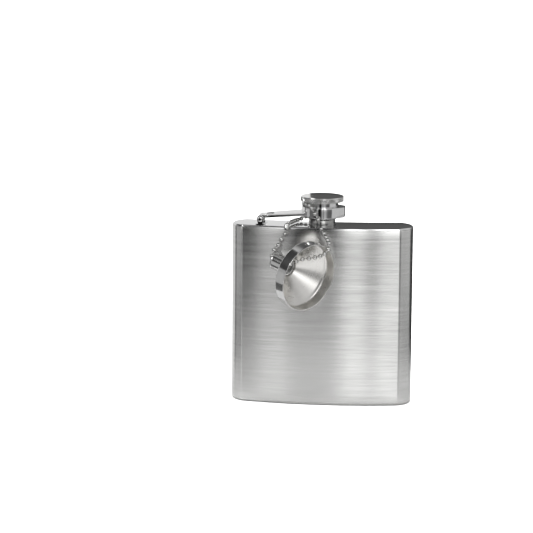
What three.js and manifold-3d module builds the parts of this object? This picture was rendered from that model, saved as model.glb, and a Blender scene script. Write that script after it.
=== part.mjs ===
// A stainless-steel hip flask: a curved flat body, a screw cap held captive on a hinged arm,
// and a small filling funnel on a loop of ball chain.
// Millimetres, +Z up. The origin is the middle of the base, the convex front faces -Y and
// the hinge of the cap's arm is on the -X side.
import * as THREE from 'three';
import { mergeVertices } from 'three/addons/utils/BufferGeometryUtils.js';
import Module from 'manifold-3d';

const wasm = await Module();
wasm.setup();

// ---------------------------------------------------------------- driving dimensions
const BODY_W = 93.8; // across the two sides
const BODY_H = 93; // base to top plate
const BODY_D = 24.7; // front crown to back creases
const FRONT_CREASE_X = 40.7; // half width of the front panel
const BACK_CREASE_X = 40.5; // half width of the back panel
const FRONT_CROWN = 4.5; // how far the front panel bulges
const BACK_HOLLOW = 3.3; // how far the back panel is dished in
const SHEET = 0.8; // wall of the body sheet
const PLATE = 1.2; // top and bottom plates
const PLATE_EDGE = 1.1; // rounding of the plates' outer edges
const FLANGE_H = 5; // depth of the plates' flanges inside the body

const NECK_Y = -1.5; // the neck and cap stand on the middle of the top plate
const NECK_R = 6.8;
const NECK_BORE_R = 5.6;
const NECK_H = 9;
const THREAD_R = 6.55; // crest of the neck's thread
const THREAD_DEPTH = 0.45;
const THREAD_PITCH = 1.5;
const THREAD_Z0 = 3.7; // the thread starts this far above the top plate
const THREAD_Z1 = 8.5;

const COLLAR_R = 10.6;
const COLLAR_Z0 = 4.4;
const COLLAR_Z1 = 9.75;
const COLLAR_LIP_R = 8.5; // the lip that the retaining ring stops against
const COLLAR_LIP_Z = 8;
const COLLAR_CUP_R = 9.4; // counterbore under the lip
const LIP_X = 11.8; // the thumb lip's flat end
const LIP_HALF = 3.2;

const HEAD_R = 11.1;
const HEAD_Z0 = 12.15;
const HEAD_Z1 = 15.1;
const SKIRT_R = 8.2;
const SKIRT_BORE_R = 7.2;
const SKIRT_Z0 = 3.5;
const RING_Z0 = 5.5;
const RING_Z1 = 6.3;
const RING_R = 9.1;

const HINGE_X = -31.4; // the arm's pivot
const HINGE_Z = 3; // above the top plate
const PIN_R = 0.75;
const PIN_HOLE_R = 1.05;
const KNUCKLE_R = 1.9;
const KNUCKLE_HALF = 5.2;
const EAR_GAP = 0.3;
const EAR_T = 0.8;
const ARM_T = 1.5;
const ARM_RISE = 0.088; // the arm climbs towards the collar, radians

const FUNNEL_R = 17.65;
const FUNNEL_WALL = 0.5;
const FUNNEL_RIM_H = 5.7;
const FUNNEL_CUP_H = 16.9; // mouth to throat
const FUNNEL_LENGTH = 25.4; // mouth to the spout's end
const SPOUT_R = 4.2;
const SPOUT_BORE_R = 3.7;
const FUNNEL_MOUTH = new THREE.Vector3(-3.7, -31.3, 70.4); // centre of the mouth
const FUNNEL_AXIS = new THREE.Vector3(0.738, -0.644, -0.2).normalize(); // out of the mouth

const CHAIN_R = 1.1; // the chain's plain tube, a little under the beads' radius
const CHAIN_SIDES = 8;
const CHAIN_STEP = 3.6;

const TOP = BODY_H;
const FINE = 64; // segments round a turned part
const COARSE = 32;

// ---------------------------------------------------------------- materials
const steel = (name, color, roughness) =>
  new THREE.MeshStandardMaterial({ name, color, roughness, metalness: 1 });
const brushed = () => steel('brushed_steel', 0xb9b9b6, 0.38);
const polished = () => steel('polished_steel', 0xc8c8c8, 0.08);
const satin = () => steel('satin_steel', 0xbdbbb5, 0.28);
const silicone = () =>
  new THREE.MeshStandardMaterial({ name: 'silicone', color: 0xdad8d0, roughness: 0.6, metalness: 0 });

// ---------------------------------------------------------------- solids
function toSolid(geometry) {
  const bare = geometry.index ? geometry.toNonIndexed() : geometry.clone();
  bare.deleteAttribute('normal');
  bare.deleteAttribute('uv');
  const merged = mergeVertices(bare, 1e-4);
  return new wasm.Manifold(
    new wasm.Mesh({
      numProp: 3,
      vertProperties: new Float32Array(merged.attributes.position.array),
      triVerts: new Uint32Array(merged.index.array),
    }),
  );
}

function toGeometry(solid) {
  const mesh = solid.getMesh();
  const geometry = new THREE.BufferGeometry();
  geometry.setAttribute('position', new THREE.BufferAttribute(mesh.vertProperties, 3));
  geometry.setIndex(new THREE.BufferAttribute(mesh.triVerts, 1));
  return geometry;
}

const join = (first, ...rest) => toGeometry(rest.reduce((a, b) => a.add(toSolid(b)), toSolid(first)));
const cut = (first, ...rest) => toGeometry(rest.reduce((a, b) => a.subtract(toSolid(b)), toSolid(first)));

// A turned part about +Z. Each profile point is [radius, height]; it runs from the axis back to
// the axis, or closes on itself.
function turned(profile, segments = FINE) {
  const points = profile.map(([r, z]) => new THREE.Vector2(r, z));
  const first = profile[0];
  const last = profile[profile.length - 1];
  const onAxis = first[0] === 0 && last[0] === 0;
  if (!onAxis) points.push(points[0].clone());
  // Counter-clockwise profiles give faces that point out.
  const area = THREE.ShapeUtils.area(points);
  if (area < 0) points.reverse();
  const geometry = new THREE.LatheGeometry(points, segments);
  geometry.rotateX(Math.PI / 2);
  return geometry;
}

function prism(outline, z0, z1, holes = []) {
  const shape = new THREE.Shape(outline);
  shape.holes = holes.map((hole) => new THREE.Path(hole));
  const geometry = new THREE.ExtrudeGeometry(shape, { depth: z1 - z0, bevelEnabled: false });
  return geometry.translate(0, 0, z0);
}

function rod(radius, z0, z1, segments = COARSE) {
  return turned([[0, z0], [radius, z0], [radius, z1], [0, z1]], segments);
}

// ---------------------------------------------------------------- body outline
// Points of the arc through a, m and b, without b.
function arcThrough(a, m, b, steps) {
  const d = 2 * (a.x * (m.y - b.y) + m.x * (b.y - a.y) + b.x * (a.y - m.y));
  const [qa, qm, qb] = [a.lengthSq(), m.lengthSq(), b.lengthSq()];
  const cx = (qa * (m.y - b.y) + qm * (b.y - a.y) + qb * (a.y - m.y)) / d;
  const cy = (qa * (b.x - m.x) + qm * (a.x - b.x) + qb * (m.x - a.x)) / d;
  const angle = (p) => Math.atan2(p.y - cy, p.x - cx);
  const turn = (from, to) => Math.atan2(Math.sin(to - from), Math.cos(to - from));
  const start = angle(a);
  const sweep = turn(start, angle(m)) + turn(angle(m), angle(b));
  const radius = Math.hypot(a.x - cx, a.y - cy);
  return Array.from({ length: steps }, (_, i) => {
    const t = start + (sweep * i) / steps;
    return new THREE.Vector2(cx + radius * Math.cos(t), cy + radius * Math.sin(t));
  });
}

// The flask's section: convex front, gently rounded narrow sides and a hollow back.
function bodyOutline() {
  const frontY = -BODY_D / 2 + FRONT_CROWN;
  const backY = BODY_D / 2;
  const point = (x, y) => new THREE.Vector2(x, y);
  const frontRight = point(FRONT_CREASE_X, frontY);
  const frontLeft = point(-FRONT_CREASE_X, frontY);
  const backRight = point(BACK_CREASE_X, backY);
  const backLeft = point(-BACK_CREASE_X, backY);
  const sideY = (frontY + backY) / 2;
  return [
    ...arcThrough(frontLeft, point(0, -BODY_D / 2), frontRight, 28),
    ...arcThrough(frontRight, point(BODY_W / 2, sideY), backRight, 8),
    ...arcThrough(backRight, point(0, backY - BACK_HOLLOW), backLeft, 20),
    ...arcThrough(backLeft, point(-BODY_W / 2, sideY), frontLeft, 8),
  ];
}

// Moves each edge of a closed outline inwards by the same distance.
function inset(outline, distance) {
  const n = outline.length;
  return outline.map((p, i) => {
    const before = p.clone().sub(outline[(i + n - 1) % n]).normalize();
    const after = outline[(i + 1) % n].clone().sub(p).normalize();
    const normal = new THREE.Vector2(-before.y - after.y, before.x + after.x).normalize();
    const reach = distance / Math.max(0.5, normal.dot(new THREE.Vector2(-before.y, before.x)));
    return p.clone().addScaledVector(normal, reach);
  });
}

const outline = bodyOutline();

const bodyShell = () => prism(outline, PLATE, TOP - PLATE, [inset(outline, SHEET)]);

// A pressed plate with a rounded edge and a flange that reaches into the body sheet.
// side is +1 for the top plate and -1 for the bottom plate.
function endPlate(side) {
  const slab = new THREE.ExtrudeGeometry(new THREE.Shape(inset(outline, PLATE_EDGE)), {
    depth: PLATE,
    bevelEnabled: true,
    bevelThickness: PLATE_EDGE,
    bevelSize: PLATE_EDGE,
    bevelSegments: 4,
  }).translate(0, 0, side > 0 ? TOP - PLATE - PLATE_EDGE : PLATE_EDGE);
  // Only the outer half of the rounded slab is kept, so the inner edge meets the body squarely.
  const kept = new THREE.BoxGeometry(2 * BODY_W, 2 * BODY_D, PLATE)
    .translate(0, 0, side > 0 ? TOP - PLATE / 2 : PLATE / 2);
  const plate = toGeometry(toSolid(slab).intersect(toSolid(kept)));
  const low = side > 0 ? TOP - PLATE - FLANGE_H : PLATE / 2;
  const high = side > 0 ? TOP - PLATE / 2 : PLATE + FLANGE_H;
  const flange = prism(inset(outline, SHEET + 0.2), low, high, [inset(outline, SHEET + 0.9)]);
  if (side < 0) return join(plate, flange);
  return cut(join(plate, flange), rod(NECK_R + 0.3, TOP - 3, TOP + 1, FINE).translate(0, NECK_Y, 0));
}

// ---------------------------------------------------------------- neck
// A tube whose outside carries a helical thread between z0 and z1.
function threadedSleeve(coreRadius, depth, z0, z1) {
  const rows = 20;
  const crest = (angle, z) => {
    const phase = (z / THREAD_PITCH - angle / (2 * Math.PI)) % 1;
    const wave = 1 - Math.abs(2 * ((phase + 1) % 1) - 1);
    const fade = Math.min(1, (z - z0) / 0.5, (z1 - z) / 0.5);
    return coreRadius + depth * Math.min(1, 1.6 * wave) * Math.max(0, fade);
  };
  const sleeve = turned(
    [
      [0, z0],
      ...Array.from({ length: rows + 1 }, (_, i) => [coreRadius, z0 + ((z1 - z0) * i) / rows]),
      [0, z1],
    ],
    48,
  );
  const position = sleeve.attributes.position;
  for (let i = 0; i < position.count; i += 1) {
    const [x, y, z] = [position.getX(i), position.getY(i), position.getZ(i)];
    if (Math.hypot(x, y) > coreRadius / 2) {
      const angle = Math.atan2(Math.round(y * 1e4) / 1e4, Math.round(x * 1e4) / 1e4);
      const radius = crest(angle, z);
      position.setXY(i, radius * Math.cos(angle), radius * Math.sin(angle));
    }
  }
  return sleeve;
}

function neck() {
  const flangeR = NECK_R + 1.6;
  const flangeTop = -PLATE - 0.1; // the weld flange lies under the top plate
  const tube = turned([
    [0, flangeTop - 0.8], [flangeR, flangeTop - 0.8], [flangeR, flangeTop], [NECK_R, flangeTop],
    [NECK_R, 3.1], [NECK_R - 0.5, 3.4], [THREAD_R - THREAD_DEPTH, 3.5],
    [THREAD_R - THREAD_DEPTH, NECK_H - 0.3], [THREAD_R - THREAD_DEPTH - 0.3, NECK_H], [0, NECK_H],
  ], 48);
  const thread = threadedSleeve(THREAD_R - THREAD_DEPTH, THREAD_DEPTH, THREAD_Z0, THREAD_Z1);
  return cut(join(tube, thread), rod(NECK_BORE_R, -4, NECK_H + 1, 48));
}

// ---------------------------------------------------------------- cap
const capHead = () =>
  turned([
    [0, HEAD_Z0 + 0.1], [10.6, HEAD_Z0 + 0.1], [10.95, HEAD_Z0 + 0.2], [HEAD_R, HEAD_Z0 + 0.4],
    [HEAD_R, HEAD_Z1 - 0.35], [10.9, HEAD_Z1 - 0.08], [10.4, HEAD_Z1], [0, HEAD_Z1 + 0.25],
  ]);

const capSkirt = () =>
  turned([
    [0, HEAD_Z0], [SKIRT_R, HEAD_Z0], [SKIRT_R, RING_Z1 + 0.3], [SKIRT_R - 0.5, RING_Z1 + 0.3],
    [SKIRT_R - 0.5, RING_Z0 - 0.3], [SKIRT_R, RING_Z0 - 0.3], [SKIRT_R, COLLAR_Z0],
    [SKIRT_R - 0.4, SKIRT_Z0], [SKIRT_BORE_R, SKIRT_Z0], [SKIRT_BORE_R, 10.9], [0, 10.9],
  ]);

const capGasket = () =>
  turned([[0, 9.5], [6.6, 9.5], [6.8, 9.7], [6.8, 10.4], [6.6, 10.6], [0, 10.6]], COARSE);

const retainingRing = () =>
  turned([[8, RING_Z0], [RING_R, RING_Z0], [RING_R, RING_Z1], [8, RING_Z1]]);

// ---------------------------------------------------------------- arm and hinge
// Strap in plan, from the knuckle to the collar, relative to the cap's axis.
function strapOutline() {
  const inner = KNUCKLE_HALF;
  const shape = new THREE.Shape();
  shape.moveTo(HINGE_X, -inner);
  shape.lineTo(HINGE_X + 2.6, -inner);
  shape.lineTo(HINGE_X + 3.6, -6);
  shape.quadraticCurveTo(-16, -6.8, -5, -8.8);
  shape.lineTo(-5, 8.8);
  shape.quadraticCurveTo(-16, 6.8, HINGE_X + 3.6, 6);
  shape.lineTo(HINGE_X + 2.6, inner);
  shape.lineTo(HINGE_X, inner);
  return shape.getPoints(8);
}

function collarOutline() {
  const lean = Math.atan2(LIP_HALF, LIP_X) + Math.acos(COLLAR_R / Math.hypot(LIP_X, LIP_HALF));
  const shape = new THREE.Shape();
  shape.absarc(0, 0, COLLAR_R, lean, 2 * Math.PI - lean, false);
  shape.lineTo(LIP_X, -LIP_HALF);
  shape.lineTo(LIP_X, LIP_HALF);
  return shape.getPoints(56);
}

function captiveArm() {
  const rise = (x) => (x - HINGE_X) * Math.tan(ARM_RISE);
  const strap = prism(strapOutline(), 0, ARM_T)
    .translate(-HINGE_X, 0, KNUCKLE_R - ARM_T)
    .rotateY(-ARM_RISE)
    .translate(HINGE_X, 0, HINGE_Z);
  const knuckle = turned(
    [[0, -KNUCKLE_HALF], [KNUCKLE_R, -KNUCKLE_HALF], [KNUCKLE_R, KNUCKLE_HALF], [0, KNUCKLE_HALF]],
    24,
  )
    .rotateX(Math.PI / 2)
    .translate(HINGE_X, 0, HINGE_Z);
  const collar = prism(collarOutline(), COLLAR_Z0, COLLAR_Z1);
  // A fillet where the strap runs up into the collar.
  const filletTop = HINGE_Z + KNUCKLE_R + rise(-COLLAR_R);
  const fillet = turned([
    [8, filletTop - 1], [COLLAR_R + 1.3, filletTop - 1], [COLLAR_R + 1.3, filletTop],
    [COLLAR_R + 0.5, filletTop + 0.25], [COLLAR_R + 0.1, filletTop + 0.9], [8, filletTop + 0.9],
  ]);
  const sector = prism(
    [new THREE.Vector2(-14, -7.4), new THREE.Vector2(-6, -7.4), new THREE.Vector2(-6, 7.4),
      new THREE.Vector2(-14, 7.4)],
    0,
    12,
  );
  const filletPart = toGeometry(toSolid(fillet).intersect(toSolid(sector)));
  const pinHole = rod(PIN_HOLE_R, -6, 6, 24).rotateX(Math.PI / 2).translate(HINGE_X, 0, HINGE_Z);
  return cut(
    join(collar, strap, knuckle, filletPart),
    pinHole,
    rod(COLLAR_LIP_R, 0, 20, FINE),
    rod(COLLAR_CUP_R, 0, COLLAR_LIP_Z, FINE),
  );
}

function armRivet() {
  const at = 4.8; // along the strap from the pivot
  return turned([[0, 0], [2, 0], [1.9, 0.28], [1.4, 0.56], [0.7, 0.68], [0, 0.7]], 24)
    .translate(at, 0, KNUCKLE_R + 0.02)
    .rotateY(-ARM_RISE)
    .translate(HINGE_X, 0, HINGE_Z);
}

function hingeBracket() {
  const base = new THREE.BoxGeometry(4.8, 2 * (KNUCKLE_HALF + EAR_GAP + EAR_T), 0.6).translate(0, 0, 0.3);
  const inner = KNUCKLE_HALF + EAR_GAP;
  const ear = new THREE.Shape();
  ear.moveTo(-2, 0);
  ear.lineTo(2, 0);
  ear.lineTo(1.75, HINGE_Z);
  ear.absarc(0, HINGE_Z, 1.75, 0, Math.PI, false);
  ear.lineTo(-2, 0);
  ear.holes = [new THREE.Path().absarc(0, HINGE_Z, PIN_HOLE_R, 0, 2 * Math.PI, true)];
  const cheek = () =>
    new THREE.ExtrudeGeometry(ear, { depth: EAR_T, bevelEnabled: false, curveSegments: 14 }).rotateX(
      Math.PI / 2,
    );
  return join(base, cheek().translate(0, inner + EAR_T, 0), cheek().translate(0, -inner, 0));
}

function hingePin() {
  const shank = KNUCKLE_HALF + EAR_GAP + EAR_T + 0.3;
  return turned([
    [0, -shank - 0.5], [0.9, -shank - 0.5], [1.35, -shank - 0.15], [1.35, -shank], [PIN_R, -shank],
    [PIN_R, shank], [1.35, shank], [1.35, shank + 0.15], [0.9, shank + 0.5], [0, shank + 0.5],
  ], 24).rotateX(Math.PI / 2);
}

// ---------------------------------------------------------------- funnel
// Built about +Z with the mouth's plane at z = 0 and the spout running down.
function funnelCup() {
  const wall = FUNNEL_WALL;
  const stepR = FUNNEL_R - 1.9;
  const throat = SPOUT_R + 0.3;
  return turned([
    [FUNNEL_R, 0], [FUNNEL_R, -FUNNEL_RIM_H], [FUNNEL_R - 0.5, -FUNNEL_RIM_H - 0.6],
    [stepR, -FUNNEL_RIM_H - 1.1], [throat + 0.6, -FUNNEL_CUP_H + 1.2], [throat + 0.5, -FUNNEL_CUP_H],
    [throat, -FUNNEL_CUP_H], [throat, -FUNNEL_CUP_H + 1.4], [stepR, -FUNNEL_RIM_H - 0.5],
    [FUNNEL_R - wall - 0.4, -FUNNEL_RIM_H], [FUNNEL_R - wall, -FUNNEL_RIM_H + 0.6],
    [FUNNEL_R - wall, 0],
  ]);
}

function funnelSpout() {
  const end = -FUNNEL_LENGTH;
  const start = -FUNNEL_CUP_H + 0.9;
  return turned([
    [SPOUT_R, start], [SPOUT_R, end + 0.5], [SPOUT_R + 0.15, end + 0.4], [SPOUT_R + 0.15, end],
    [SPOUT_BORE_R, end], [SPOUT_BORE_R, start],
  ], 40);
}

// ---------------------------------------------------------------- ball chain
// The chain is one loop round the arm and through the funnel. These are its two runs, each a
// plain tube where the beads go; the connector joins them over the front edge of the top plate.
// Their other ends meet over the same edge, where the loop leaves the collar.
const UPPER_RUN = [
  [-1, -13.5, 97.4], [-2, -13.4, 99], [-3.2, -13.3, 101], [-4.2, -12.8, 102.7],
  [-5.1, -11.4, 103.9], [-6.3, -9, 104], [-7.9, -6.7, 104], [-9.1, -4.1, 104],
  [-9.5, -1.2, 104], [-9, 1.4, 104], [-7.8, 4, 104], [-6.8, 6.8, 103.95], [-6.3, 9.3, 103],
  [-6.5, 10.4, 100.6], [-7, 10.8, 98.2], [-8.4, 10.1, 96], [-10.6, 7.8, 94.8], [-12.7, 4.4, 94.5],
  [-14.2, 0.4, 94.5], [-15.2, -3.6, 94.5], [-15.8, -7.4, 94.7], [-16, -9.6, 94.9],
];
const LOWER_RUN = [
  [0.7, -14.4, 92.7], [1.6, -15.6, 91.6], [3.2, -18.4, 89.8], [4.5, -21.6, 88.6],
  [5.4, -24.7, 87.9], [6.2, -26.6, 86.7], [5.8, -27.6, 84.8], [4.3, -27.2, 82.9],
  [2.4, -25.6, 81.2], [-0.2, -23.8, 80], [-3, -22.5, 79.1], [-6.4, -21.8, 78.5],
  [-9.8, -21.3, 77.6], [-13.1, -20.8, 75.9], [-16.4, -20, 74.3], [-20.1, -17, 75.2],
  [-23.2, -14.3, 76.6], [-24.6, -13.2, 78], [-23.7, -13, 80.4], [-21.8, -13.2, 82.7],
  [-20.2, -13.4, 85.7], [-18.7, -13.5, 88.6], [-18, -13.6, 89.7],
];
const CONNECTOR_AT = new THREE.Vector3(-17, -13.9, 93.5); // where the left run crosses the edge
const CONNECTOR_ALONG = new THREE.Vector3(-0.15, -0.5, -0.85).normalize();
const CONNECTOR_LENGTH = 3.4;
const CONNECTOR_R = 1.3;

function chainTube(points) {
  const curve = new THREE.CatmullRomCurve3(points.map(([x, y, z]) => new THREE.Vector3(x, y, z)));
  const section = new THREE.Shape(
    Array.from({ length: CHAIN_SIDES }, (_, i) => {
      const angle = (2 * Math.PI * i) / CHAIN_SIDES;
      return new THREE.Vector2(CHAIN_R * Math.cos(angle), CHAIN_R * Math.sin(angle));
    }),
  );
  return new THREE.ExtrudeGeometry(section, {
    steps: Math.round(curve.getLength() / CHAIN_STEP) * 2,
    extrudePath: curve,
    bevelEnabled: false,
  });
}

// The connector is a short barrel that grips the end bead of each run.
function chainConnector() {
  const half = CONNECTOR_LENGTH / 2;
  const turn = new THREE.Quaternion().setFromUnitVectors(new THREE.Vector3(0, 0, 1), CONNECTOR_ALONG);
  return turned([
    [0, -half], [CONNECTOR_R - 0.4, -half], [CONNECTOR_R, -half + 0.5], [CONNECTOR_R, half - 0.5],
    [CONNECTOR_R - 0.4, half], [0, half],
  ], 16)
    .applyQuaternion(turn)
    .translate(...CONNECTOR_AT.toArray());
}

// ---------------------------------------------------------------- assembly
function mesh(name, geometry, material) {
  const part = new THREE.Mesh(geometry, material);
  part.name = name;
  return part;
}

const group = new THREE.Group();

group.add(
  mesh('body_shell', bodyShell(), brushed()),
  mesh('top_plate', endPlate(1), polished()),
  mesh('bottom_plate', endPlate(-1), satin()),
);

const capAxis = new THREE.Group();
capAxis.position.set(0, NECK_Y, TOP);
capAxis.add(
  mesh('neck', neck(), polished()),
  mesh('cap_head', capHead(), polished()),
  mesh('cap_skirt', capSkirt(), polished()),
  mesh('cap_gasket', capGasket(), silicone()),
  mesh('retaining_ring', retainingRing(), satin()),
  mesh('captive_arm', captiveArm(), polished()),
  mesh('arm_rivet', armRivet(), polished()),
);
group.add(capAxis);

const bracket = mesh('hinge_bracket', hingeBracket(), polished());
bracket.position.set(HINGE_X, NECK_Y, TOP);
const pin = mesh('hinge_pin', hingePin(), polished());
pin.position.set(HINGE_X, NECK_Y, TOP + HINGE_Z);
group.add(bracket, pin);

const funnel = new THREE.Group();
funnel.position.copy(FUNNEL_MOUTH);
funnel.quaternion.setFromUnitVectors(new THREE.Vector3(0, 0, 1), FUNNEL_AXIS);
funnel.add(mesh('funnel_cup', funnelCup(), satin()), mesh('funnel_spout', funnelSpout(), polished()));
group.add(funnel);

group.add(
  mesh('chain_upper_run', chainTube(UPPER_RUN), polished()),
  mesh('chain_lower_run', chainTube(LOWER_RUN), polished()),
  mesh('chain_connector', chainConnector(), polished()),
);

export default group;
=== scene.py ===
import math

import bmesh
import bpy
import numpy as np
from mathutils import Matrix, Quaternion, Vector


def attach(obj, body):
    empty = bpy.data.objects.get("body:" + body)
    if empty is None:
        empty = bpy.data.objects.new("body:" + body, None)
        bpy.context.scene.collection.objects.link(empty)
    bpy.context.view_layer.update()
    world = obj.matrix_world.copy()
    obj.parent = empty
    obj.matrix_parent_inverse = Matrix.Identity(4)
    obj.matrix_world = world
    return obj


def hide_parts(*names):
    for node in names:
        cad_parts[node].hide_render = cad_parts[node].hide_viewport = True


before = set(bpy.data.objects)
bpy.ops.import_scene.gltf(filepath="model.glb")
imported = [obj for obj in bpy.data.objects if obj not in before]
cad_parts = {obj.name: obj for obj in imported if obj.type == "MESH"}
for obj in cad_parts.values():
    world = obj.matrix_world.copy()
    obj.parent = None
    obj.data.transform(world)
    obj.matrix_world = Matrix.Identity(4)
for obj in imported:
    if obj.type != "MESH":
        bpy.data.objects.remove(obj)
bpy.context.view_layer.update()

MM = 0.001

# ---------------------------------------------------------------- dimensions, mm, as in the CAD
BODY_W, BODY_D, TOP = 93.8, 24.7, 93.0
FRONT_CREASE_X, BACK_CREASE_X = 40.7, 40.5
FRONT_CROWN, BACK_HOLLOW = 4.5, 3.3
SHEET, PLATE, FLANGE_H = 0.8, 1.2, 5.0

NECK_Y = -1.5
NECK_R, NECK_BORE_R, NECK_H = 6.8, 5.6, 9.0
THREAD_R, THREAD_DEPTH, THREAD_PITCH = 6.55, 0.45, 1.5

COLLAR_R, COLLAR_Z0, COLLAR_Z1 = 10.6, 4.4, 9.75
COLLAR_LIP_R, COLLAR_LIP_Z, COLLAR_CUP_R = 8.5, 8.0, 9.4
LIP_X, LIP_HALF = 11.8, 3.2

HEAD_R, HEAD_Z0, HEAD_Z1 = 11.1, 12.15, 15.1
SKIRT_R, SKIRT_BORE_R, SKIRT_Z0 = 8.2, 7.2, 3.5
RING_R, RING_Z0, RING_Z1 = 9.1, 5.5, 6.3

HINGE_X, HINGE_Z = -31.4, 3.0
PIN_R, PIN_HOLE_R = 0.75, 1.05
KNUCKLE_R, KNUCKLE_HALF = 1.9, 5.2
EAR_GAP, EAR_T = 0.3, 0.8
ARM_T, ARM_RISE = 1.5, 0.088

FUNNEL_R, FUNNEL_WALL, FUNNEL_RIM_H = 17.65, 0.5, 5.7
FUNNEL_CUP_H, FUNNEL_LENGTH = 16.9, 25.4
SPOUT_R, SPOUT_BORE_R = 4.2, 3.7
FUNNEL_MOUTH = Vector((-3.7, -31.3, 70.4))
FUNNEL_AXIS = Vector((0.738, -0.644, -0.2)).normalized()

BEAD_R, BEAD_STEP = 1.16, 3.4


# ---------------------------------------------------------------- camera
def in_scene(name, data):
    """A new object, linked to the scene."""
    obj = bpy.data.objects.new(name, data)
    bpy.context.scene.collection.objects.link(obj)
    return obj


camera = in_scene("camera", bpy.data.cameras.new("camera"))
camera.data.sensor_width, camera.data.lens = 36, 165.26
camera.data.clip_start, camera.data.clip_end = 0.02, 60
camera.location = (0.10986, -1.24251, 0.29562)
aim = Vector((-0.02858, -0.00214, 0.07036)) - camera.location
roll = Quaternion((0, 0, 1), math.radians(0.39))
camera.rotation_mode = "QUATERNION"
camera.rotation_quaternion = aim.to_track_quat("-Z", "Y") @ roll
bpy.context.scene.camera = camera
bpy.context.scene.view_settings.view_transform = "Standard"

# ---------------------------------------------------------------- mesh helpers
SMALL = 1e-6  # mm: closer radii are taken as equal
SAME_PLACE, NO_LENGTH = 1e-6, 1e-7  # metres: vertices to join, and edges to drop
CORNER_MOST = 0.45  # of a side that a corner's curve takes up, so that two of them don't meet


def finish_mesh(name, vertices, faces, matrix=None, sharp=38, spun=False):
    """A smooth-shaded closed mesh from vertices in mm, placed by matrix. Edges sharper than sharp
    degrees stay sharp. A spun piece is put in place vertex by vertex, and keeps where each one was
    about its own axis for its material."""
    me = bpy.data.meshes.new(name)
    me.from_pydata([tuple(MM * c for c in v) for v in vertices], [], faces)
    bm = bmesh.new()
    bm.from_mesh(me)
    bmesh.ops.remove_doubles(bm, verts=bm.verts, dist=SAME_PLACE)
    bmesh.ops.dissolve_degenerate(bm, edges=bm.edges, dist=NO_LENGTH)
    bmesh.ops.recalc_face_normals(bm, faces=bm.faces)
    bm.to_mesh(me)
    bm.free()
    if spun:
        keep_turning(me)
        me.transform(matrix)
        matrix = None
    me.shade_smooth()
    me.set_sharp_from_angle(angle=math.radians(sharp))
    obj = in_scene(name, me)
    if matrix is not None:
        obj.matrix_world = matrix
    return obj


def keep_turning(me):
    """Stores each vertex's place about +Z, and a UV map: u goes once round the axis, and v is a
    measure that changes steadily along the profile."""
    co = np.zeros(len(me.vertices) * 3)
    me.vertices.foreach_get("co", co)
    me.attributes.new("turned", "FLOAT_VECTOR", "POINT").data.foreach_set("vector", co)
    co = co.reshape(-1, 3)
    round_axis = np.arctan2(co[:, 1], co[:, 0]) / (2 * math.pi)
    down = (co[:, 2] - 2 * np.hypot(co[:, 0], co[:, 1])) * 10
    uv = me.uv_layers.new(name="turned_uv").data
    for face in me.polygons:
        u = round_axis[list(face.vertices)]
        u = np.where(u.max() - u > 0.5, u + 1, u)
        for loop, a, v in zip(face.loop_indices, u, down[list(face.vertices)]):
            uv[loop].uv = (a, v)


def grid(rings, wrap=False, caps=False):
    """Vertices and quads of a stack of closed rings. wrap joins the last ring to the first."""
    rings = np.asarray(rings, float)
    m, n = rings.shape[:2]
    vertices = rings.reshape(-1, 3)
    faces = []
    for i in range(m if wrap else m - 1):
        a, b = i * n, (i + 1) % m * n
        for j in range(n):
            k = (j + 1) % n
            faces.append((a + j, a + k, b + k, b + j))
    if caps:
        faces.append(tuple(range(n))[::-1])
        faces.append(tuple(range((m - 1) * n, m * n)))
    return vertices, faces


def merge(*parts):
    """Several (vertices, faces) pairs as one."""
    vertices, faces, base = [], [], 0
    for v, f in parts:
        vertices.append(np.asarray(v, float))
        faces += [tuple(i + base for i in face) for face in f]
        base += len(v)
    return np.concatenate(vertices), faces


def soften(points, radius, closed=True, steps=4):
    """Rounds the corners of a polyline. A point may carry its own radius as a third number."""
    out, n = [], len(points)
    for i, p in enumerate(points):
        if not closed and i in (0, n - 1):
            out.append(p[:2])
            continue
        here = np.array(p[:2], float)
        before = np.array(points[i - 1][:2], float) - here
        after = np.array(points[(i + 1) % n][:2], float) - here
        r = p[2] if len(p) > 2 else radius
        a, b = np.linalg.norm(before), np.linalg.norm(after)
        reach = min(r, CORNER_MOST * a, CORNER_MOST * b)
        if reach < 1e-4:
            out.append(tuple(here))
            continue
        start, end = here + before / a * reach, here + after / b * reach
        for s in range(steps + 1):
            t = s / steps
            out.append(tuple((1 - t) ** 2 * start + 2 * t * (1 - t) * here + t * t * end))
    return out


def turned_rings(profile, segments, wobble=None):
    """Rings about +Z through a profile of (radius, height). wobble gives each ring's radii."""
    angles = np.arange(segments) * 2 * math.pi / segments
    rings = []
    for r, z in profile:
        radii = np.full(segments, float(r)) if wobble is None else wobble(r, z, angles)
        rings.append(np.stack([radii * np.cos(angles), radii * np.sin(angles),
                               np.full(segments, float(z))], 1))
    return rings


def turned(name, profile, matrix, radius, segments=128, steps=4, spun=False):
    """A turned piece with rounded corners. Its profile runs from axis to axis or is a loop."""
    loop = profile[0][0] != 0 or profile[-1][0] != 0
    line = soften(profile, radius, closed=loop, steps=steps)
    shape = grid(turned_rings(line, segments), wrap=loop)
    return finish_mesh(name, *shape, matrix, spun=spun)


def place(x, y, z, axis=None):
    """Matrix that puts a part built about +Z in mm at a point, with +Z turned to axis."""
    turn = Matrix.Identity(4)
    if axis is not None:
        turn = Vector((0, 0, 1)).rotation_difference(Vector(axis)).to_matrix().to_4x4()
    return Matrix.Translation(Vector((x, y, z)) * MM) @ turn


CAP_AXIS = place(0, NECK_Y, TOP)
FUNNEL_AT = place(*FUNNEL_MOUTH, axis=FUNNEL_AXIS)


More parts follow.
